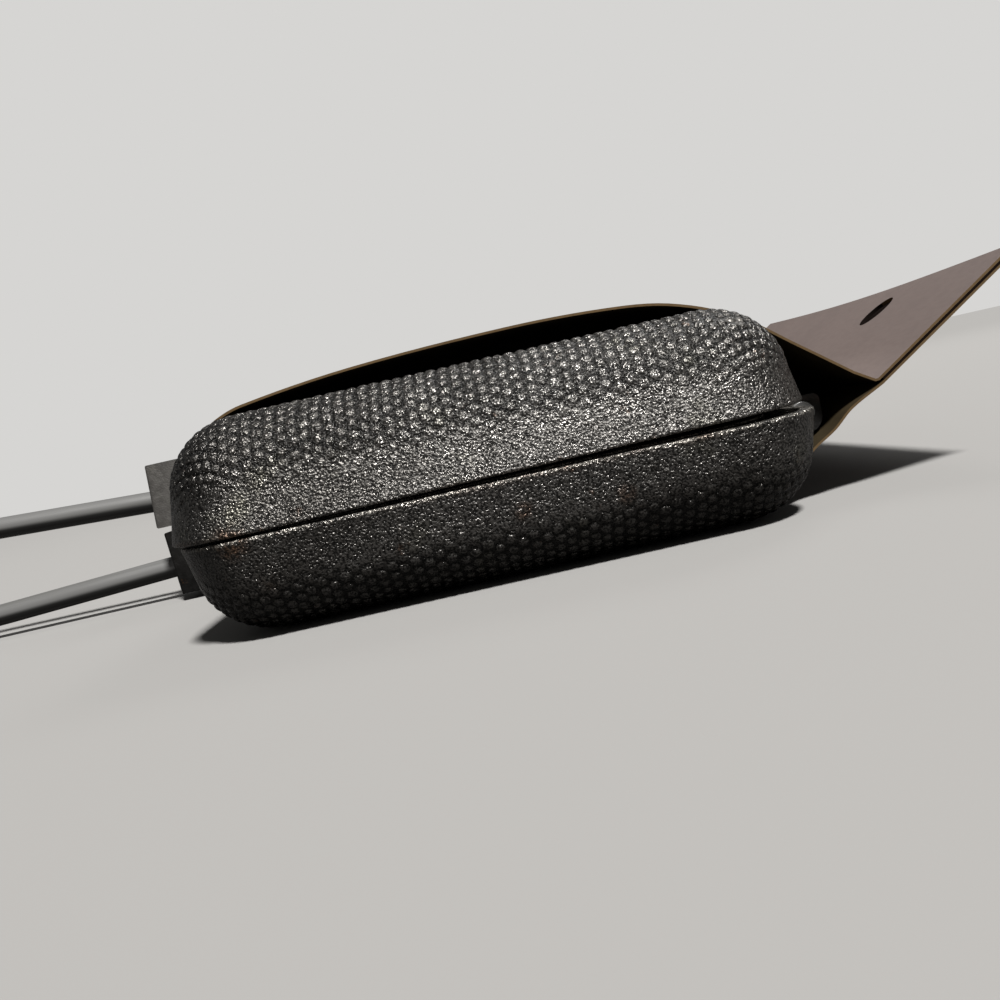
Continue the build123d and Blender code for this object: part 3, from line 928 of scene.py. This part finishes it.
def plain_mesh(source: Object, name: str) -> Object:
    """Turn an object with modifiers into a plain mesh object, and delete the source.

    Args:
        source: Object whose evaluated shape is kept.
        name: Name of the new object.

    Returns:
        The new object, at the origin and with no modifier.
    """
    evaluated = source.evaluated_get(bpy.context.evaluated_depsgraph_get())
    mesh = bpy.data.meshes.new_from_object(evaluated)
    mesh.name = name
    made = new_object(name, mesh)
    bpy.data.objects.remove(source)
    return made


@dataclass
class Castings:
    """The two cast-iron halves with their pebbled skins."""

    lower_depth: float = 19.0
    upper_depth: float = 22.4
    upper_shift: float = 1.5

    def build(self, finishes: Finishes) -> None:
        """Dress both castings and lay their pebbles.

        Args:
            finishes: Shared finishes.
        """
        for half in Half:
            finishes.dress(half.word + "_shell", finishes.iron)
        rim_z = self.lower_depth
        PebbledSkin(Half.LOWER, rim_z, self.lower_depth, 0.0, seed=11).build(finishes)
        PebbledSkin(Half.UPPER, rim_z, self.upper_depth, -self.upper_shift, seed=23).build(finishes)


@dataclass
class HandlesAndFittings:
    """Rods, grips, ferrules, washers, nuts, hinge pins and latch."""

    plated: tuple[str, ...] = ("ferrule", "end_washer", "end_nut")
    pins: tuple[str, ...] = ("hinge_pin_near", "hinge_pin_far")
    latch: tuple[str, ...] = ("latch_hook", "latch_collars")

    def build(self, finishes: Finishes) -> None:
        """Dress every fitting.

        Args:
            finishes: Shared finishes.
        """
        for half in Half:
            finishes.dress(half.word + "_rod", finishes.rod)
            finishes.dress(half.word + "_grip", finishes.beech)
            for part in self.plated:
                finishes.dress(half.word + "_" + part, finishes.plate)
        for pin in self.pins:
            finishes.dress(pin, finishes.rod)
        for part in self.latch:
            finishes.dress(part, finishes.plate)


@dataclass
class CardSleeve:
    """Card that arches over the upper half, folds behind the hinge and turns up into a tab of three plies.

    One strip runs over the top, up the front of the tab, down its back, and back under the hinge. A loose ply
    stiffens the tab between front and back. The outside is plain, and the kraft side is inside.
    """

    parting_z: float = 19.475
    width: float = 168.0
    thickness: float = 0.5
    ply_gap: float = 0.04
    fold_round: float = 0.4
    sag: float = 1.3
    columns: int = 56
    sharp_degrees: float = 35.0
    least_mitre: float = 0.7
    front_shares: tuple[float, ...] = (0.012, 0.3, 0.6, 0.9, 1.0)
    middle_shares: tuple[float, ...] = (0.03, 0.3, 0.6, 0.9, 0.995)
    hole_diameter: float = 10.0
    hole_from_fold: float = 27.6
    hole_y: float = -33.5
    hole_sides: int = 40
    hole_slack: float = 1.01
    hole_reach: float = 1.4
    lit_from: float = 0.7
    wall_from: float = 0.9
    fold: tuple[float, float] = (79.6, 0.5)
    tip: tuple[float, float] = (111.6, 21.1)
    top_line: tuple[tuple[float, float], ...] = (
        (-57.0, 19.3), (-52.5, 22.2), (-46.9, 24.0), (-24.0, 26.5), (8.2, 27.5), (28.5, 26.8), (41.0, 25.0),
        (53.4, 20.0), (65.6, 10.9), (75.0, 3.6))
    return_line: tuple[tuple[float, float], ...] = (
        (73.2, -3.3), (69.1, -6.7), (64.2, -9.7), (61.3, -12.4), (58.9, -15.6))
    vertices: list[tuple[float, float, float]] = field(default_factory=list)
    faces: list[tuple[int, ...]] = field(default_factory=list)
    sides: list[int] = field(default_factory=list)

    def along(self) -> np.ndarray:
        """Direction from the fold to the tab's tip, in the XZ plane."""
        run = np.array(self.tip) - np.array(self.fold)
        return run / np.linalg.norm(run)

    def outward(self) -> np.ndarray:
        """Direction that the tab's front ply faces, in the XZ plane."""
        run = self.along()
        return np.array([-run[1], run[0]])

    def up_tab(self, shares: Iterable[float], aside: float = 0.0) -> list[np.ndarray]:
        """Points up the tab, at shares of its length and a distance to its front."""
        fold, tip = np.array(self.fold), np.array(self.tip)
        return [fold + (tip - fold) * share + self.outward() * aside for share in shares]

    def smooth(self, points: list[np.ndarray], steps: int = 6) -> list[np.ndarray]:
        """Pass a smooth line through points.

        Args:
            points: Points of the line.
            steps: Points made on each run.

        Returns:
            Points of the smooth line.
        """
        line = []
        for i in range(len(points) - 1):
            before, first = points[max(i - 1, 0)], points[i]
            last, after = points[i + 1], points[min(i + 2, len(points) - 1)]
            reach = np.linalg.norm(last - first)
            start = (last - before) / np.linalg.norm(last - before) * reach
            end = (after - first) / np.linalg.norm(after - first) * reach
            for k in range(steps):
                t = k / steps
                line.append(first * (2 * t ** 3 - 3 * t ** 2 + 1) + start * (t ** 3 - 2 * t ** 2 + t)
                            + last * (3 * t ** 2 - 2 * t ** 3) + end * (t ** 3 - t ** 2))
        return line + [points[-1]]

    def path(self) -> tuple[list[np.ndarray], list[float]]:
        """Middle line of the strip in the XZ plane, and how far up the tab each of its points stands.

        Returns:
            Points in millimetres over the parting plane, and shares from 0 at the fold to 1 at the tab's tip.
        """
        aside = self.thickness + self.ply_gap
        top = self.smooth([np.array(p) for p in self.top_line])
        run = self.up_tab([0.0], aside)[0] - top[-1]
        before = top[-1] + run * (1 - self.fold_round / np.linalg.norm(run))
        shares = list(self.front_shares)
        front = self.up_tab(shares, aside)
        back = self.up_tab(reversed(shares), -aside)
        turned = self.up_tab([0.0], -aside)[0] + self.along() * self.fold_round
        under = self.smooth([turned] + [np.array(p) for p in self.return_line])
        points = top + [before] + front + back + under[2:]
        lifts = [0.0] * (len(top) + 1) + shares + list(reversed(shares)) + [0.0] * (len(under) - 2)
        return points, lifts

    def edges(self, points: list[np.ndarray]) -> tuple[list[np.ndarray], list[np.ndarray]]:
        """Offset the middle line by half a thickness to each side.

        Args:
            points: Middle line.

        Returns:
            Points of the outside and of the inside.
        """
        outside, inside = [], []
        for i, point in enumerate(points):
            runs = [points[k + 1] - points[k] for k in (i - 1, i) if 0 <= k < len(points) - 1]
            units = [run / np.linalg.norm(run) for run in runs]
            normals = [np.array([-unit[1], unit[0]]) for unit in units]
            normal = sum(normals)
            normal = normal / max(np.linalg.norm(normal), 1e-6)
            mitre = 1 / max(float(normal @ normals[0]), self.least_mitre)
            outside.append(point + normal * self.thickness / 2 * mitre)
            inside.append(point - normal * self.thickness / 2 * mitre)
        return outside, inside

    def lay_strip(self, points: list[np.ndarray], lifts: list[float], edge_side: Ply = Ply.EDGE) -> None:
        """Add a strip of card along a middle line, as wide as the sleeve.

        Args:
            points: Middle line in millimetres over the parting plane.
            lifts: How far up the tab each point stands, for the sag of the tab's top edge.
            edge_side: Look of the strip's cut edges.
        """
        outside, inside = self.edges(points)
        count, origin = len(points), len(self.vertices)
        for column in range(self.columns + 1):
            y = -self.width / 2 + self.width * column / self.columns
            bow = math.sin(math.pi * column / self.columns)
            for line in (outside, inside):
                for point, lift in zip(line, lifts):
                    drop = self.sag * bow * lift ** 2
                    self.vertices.append((point[0] * MM, y * MM, (self.parting_z + point[1] - drop) * MM))
        for column in range(self.columns):
            first, second = origin + column * 2 * count, origin + (column + 1) * 2 * count
            for i in range(count - 1):
                self.faces.append((first + i, first + i + 1, second + i + 1, second + i))
                self.faces.append((first + count + i, second + count + i, second + count + i + 1,
                                   first + count + i + 1))
                self.sides += [Ply.OUTSIDE.value, Ply.INSIDE.value]
            for i in (0, count - 1):
                end = (first + i, second + i, second + count + i, first + count + i)
                self.faces.append(end if i == 0 else tuple(reversed(end)))
                self.sides.append(edge_side.value)
        for column in (0, self.columns):
            start = origin + column * 2 * count
            for i in range(count - 1):
                edge = (start + i, start + count + i, start + count + i + 1, start + i + 1)
                self.faces.append(edge if column == 0 else tuple(reversed(edge)))
                self.sides.append(edge_side.value)

    def build(self, finishes: Finishes) -> None:
        """Make the card and let it take the place of its plain solid.

        Args:
            finishes: Shared finishes.
        """
        self.lay_strip(*self.path())
        shares = list(self.middle_shares)
        # The middle ply's cut edges get painted shade.
        self.lay_strip(self.up_tab(shares), shares, Ply.SHADED)
        card = mesh_object("card_sheet", self.vertices, self.faces)
        for material in finishes.board:
            card.data.materials.append(material)
        card.data.polygons.foreach_set("material_index", self.sides)
        self.punch(card)
        sharpen(card, self.sharp_degrees)
        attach(card, "sleeve")
        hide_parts("card_sleeve")
        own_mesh(card)
        LOG.info("%s: %d faces", card.name, len(card.data.polygons))

    def in_metres(self, point: np.ndarray) -> Vector:
        """Place at the hang hole's Y of a point in the XZ plane over the parting plane."""
        return Vector((point[0] * MM, self.hole_y * MM, (self.parting_z + point[1]) * MM))

    def punch(self, card: Object) -> None:
        """Cut the hang hole through the tab's two front plies and give what is seen down in it painted shade.

        Args:
            card: The card's mesh object.
        """
        along, normal = self.along(), self.outward()
        share = self.hole_from_fold / math.dist(self.fold, self.tip)
        bow = math.sin(math.pi * (self.hole_y / self.width + 0.5))
        middle = self.up_tab([share])[0] - np.array([0, self.sag * bow * share ** 2])
        low, high = -self.thickness / 2 - self.ply_gap / 2, 4 * self.thickness
        radius = self.hole_diameter / 2 * MM
        data = bmesh.new()
        bmesh.ops.create_cone(data, cap_ends=True, segments=self.hole_sides, radius1=radius, radius2=radius,
                              depth=(high - low) * MM)
        through = Vector((normal[0], 0, normal[1]))
        place = self.in_metres(middle + normal * (low + high) / 2)
        turn = through.to_track_quat("Z", "Y").to_matrix().to_4x4()
        bmesh.ops.transform(data, matrix=Matrix.Translation(place) @ turn, verts=data.verts)
        mesh = bpy.data.meshes.new("hole_punch")
        data.to_mesh(mesh)
        data.free()
        punch = new_object("hole_punch", mesh)
        modifier = card.modifiers.new("hole", "BOOLEAN")
        modifier.object = punch
        modifier.solver = "EXACT"
        cut = bpy.data.meshes.new_from_object(card.evaluated_get(bpy.context.evaluated_depsgraph_get()))
        card.modifiers.clear()
        card.data = cut
        bpy.data.objects.remove(punch)
        self.shade_hole(cut, self.in_metres(middle), through, Vector((along[0], 0, along[1])))

    def shade_hole(self, cut: bpy.types.Mesh, heart: Vector, through: Vector, uphill: Vector) -> None:
        """Give the hole's wall its edge look on the lit side and painted shade elsewhere.

        Args:
            cut: The punched card's mesh, which gets new material numbers.
            heart: Middle of the hole in metres.
            through: Direction of the hole.
            uphill: Direction toward the tab's tip.
        """
        radius = self.hole_diameter / 2 * MM
        for polygon in cut.polygons:
            offset = Vector(polygon.center) - heart
            height = offset.dot(through)
            aside = offset - through * height
            if aside.length > radius * self.hole_slack or abs(height) > self.hole_reach * self.thickness * MM:
                continue
            lit = offset.dot(uphill) > self.lit_from * radius and aside.length > self.wall_from * radius
            polygon.material_index = Ply.EDGE.value if lit else Ply.SHADED.value


def sharpen(piece: Object, degrees: float) -> None:
    """Mark the edges that turn more than an angle as sharp.

    Args:
        piece: Mesh object.
        degrees: Smallest angle of a sharp edge.
    """
    data = bmesh.new()
    data.from_mesh(piece.data)
    for edge in data.edges:
        if len(edge.link_faces) == 2 and edge.calc_face_angle(0.0) > math.radians(degrees):
            edge.smooth = False
    data.to_mesh(piece.data)
    data.free()


@dataclass
class Studio:
    """Camera at the photograph's angle, pale floor and soft lamps."""

    focal_pixels: float = 989.0
    picture_pixels: float = 1000.0
    sensor: float = 36.0
    near_edge: tuple[float, float, float] = (-0.4, -109.0, 19.475)
    near_distance: float = 175.0
    near_rise: float = 3.75
    pitch: float = 4.75
    roll: float = 12.7
    clip_m: tuple[float, float] = (0.005, 100.0)
    floor_z: float = -0.6
    floor_half_m: float = 12.0
    floor_seen: str = "#888683"
    floor_reflected_shade: str = "#4a4846"
    floor_roughness: float = 0.9
    sun_toward: tuple[float, float, float] = (0.18, -0.50, 0.84)
    sun_spread: float = 8.0
    sun_strength: float = 7.2
    back_place_m: tuple[float, float, float] = (0.55, 0.75, 1.0)
    back_aim_m: tuple[float, float, float] = (0.0, 0.0, 0.02)
    back_size_m: float = 0.5
    back_power: float = 3.0
    sky_strength: float = 0.11
    backdrop: str = "#d6d5d3"

    def camera(self) -> None:
        """Set the camera: low over the head's near end, pitched a little down and rolled."""
        data = bpy.data.cameras.new("camera")
        data.sensor_width = self.sensor
        data.lens = self.focal_pixels / self.picture_pixels * self.sensor
        data.clip_start, data.clip_end = self.clip_m
        tilt = math.radians(self.pitch)
        turn = math.radians(self.roll)
        ahead = Vector((0, math.cos(tilt), -math.sin(tilt)))
        above = Vector((0, math.sin(tilt), math.cos(tilt)))
        across = Vector((1, 0, 0))
        right = across * math.cos(turn) - above * math.sin(turn)
        up = across * math.sin(turn) + above * math.cos(turn)
        place = (Vector(self.near_edge) - ahead * self.near_distance - above * self.near_rise) * MM
        rotation = Matrix((right, up, -ahead)).transposed().to_4x4()
        camera = new_object("camera", data)
        camera.matrix_world = Matrix.Translation(place) @ rotation
        bpy.context.scene.camera = camera

    def floor(self) -> None:
        """Lay a wide pale floor under the iron, with painted shade in what it reflects: darker there, as the
        photograph's cloth is.
        """
        half, height = self.floor_half_m, self.floor_z * MM
        corners = [(-half, -half, height), (half, -half, height), (half, half, height), (-half, half, height)]
        floor = mesh_object("floor", corners, [(0, 1, 2, 3)], smooth=False)
        paint = Paint("pale_floor")
        seen = paint.add("ShaderNodeLightPath").outputs["Is Camera Ray"]
        tone = paint.mix(seen, self.floor_reflected_shade, self.floor_seen)
        floor.data.materials.append(paint.finish({"Base Color": tone, "Roughness": self.floor_roughness}))

    def lamp(self) -> None:
        """Add a square soft lamp behind the head that faces it."""
        data = bpy.data.lights.new("back", "AREA")
        data.size = self.back_size_m
        data.energy = self.back_power
        lamp = new_object("back", data)
        lamp.location = self.back_place_m
        toward = Vector(self.back_aim_m) - Vector(self.back_place_m)
        lamp.rotation_euler = toward.to_track_quat("-Z", "Y").to_euler()

    def sun(self) -> None:
        """Add the even key light, which casts the same soft light on iron and floor."""
        data = bpy.data.lights.new("key", "SUN")
        data.angle = math.radians(self.sun_spread)
        data.energy = self.sun_strength
        light = new_object("key", data)
        light.rotation_euler = (-Vector(self.sun_toward)).to_track_quat("-Z", "Y").to_euler()

    def sky(self) -> None:
        """Give the world an even pale light, with a pale background for the camera."""
        world = bpy.data.worlds.new("studio")
        world.use_nodes = True
        nodes = Nodes(world.node_tree)
        shade = nodes.add("ShaderNodeBackground", {"Color": WHITE, "Strength": self.sky_strength})
        seen = nodes.add("ShaderNodeBackground", {"Color": linear(self.backdrop), "Strength": 1.0})
        path = nodes.add("ShaderNodeLightPath")
        chosen = nodes.add("ShaderNodeMixShader",
                           {0: path.outputs["Is Camera Ray"], 1: shade.outputs[0], 2: seen.outputs[0]})
        nodes.add("ShaderNodeOutputWorld", {"Surface": chosen.outputs[0]})
        bpy.context.scene.world = world

    def build(self) -> None:
        """Set up camera, floor, lamps and world."""
        self.camera()
        self.floor()
        self.sun()
        self.lamp()
        self.sky()
        bpy.context.scene.view_settings.view_transform = "Standard"


def main() -> None:
    """Build the scene in order."""
    logging.basicConfig(level=logging.INFO, format="%(name)s: %(message)s")
    Studio().build()
    finishes = Finishes()
    Castings().build(finishes)
    HandlesAndFittings().build(finishes)
    CardSleeve().build(finishes)


if __name__ == "__main__":
    main()
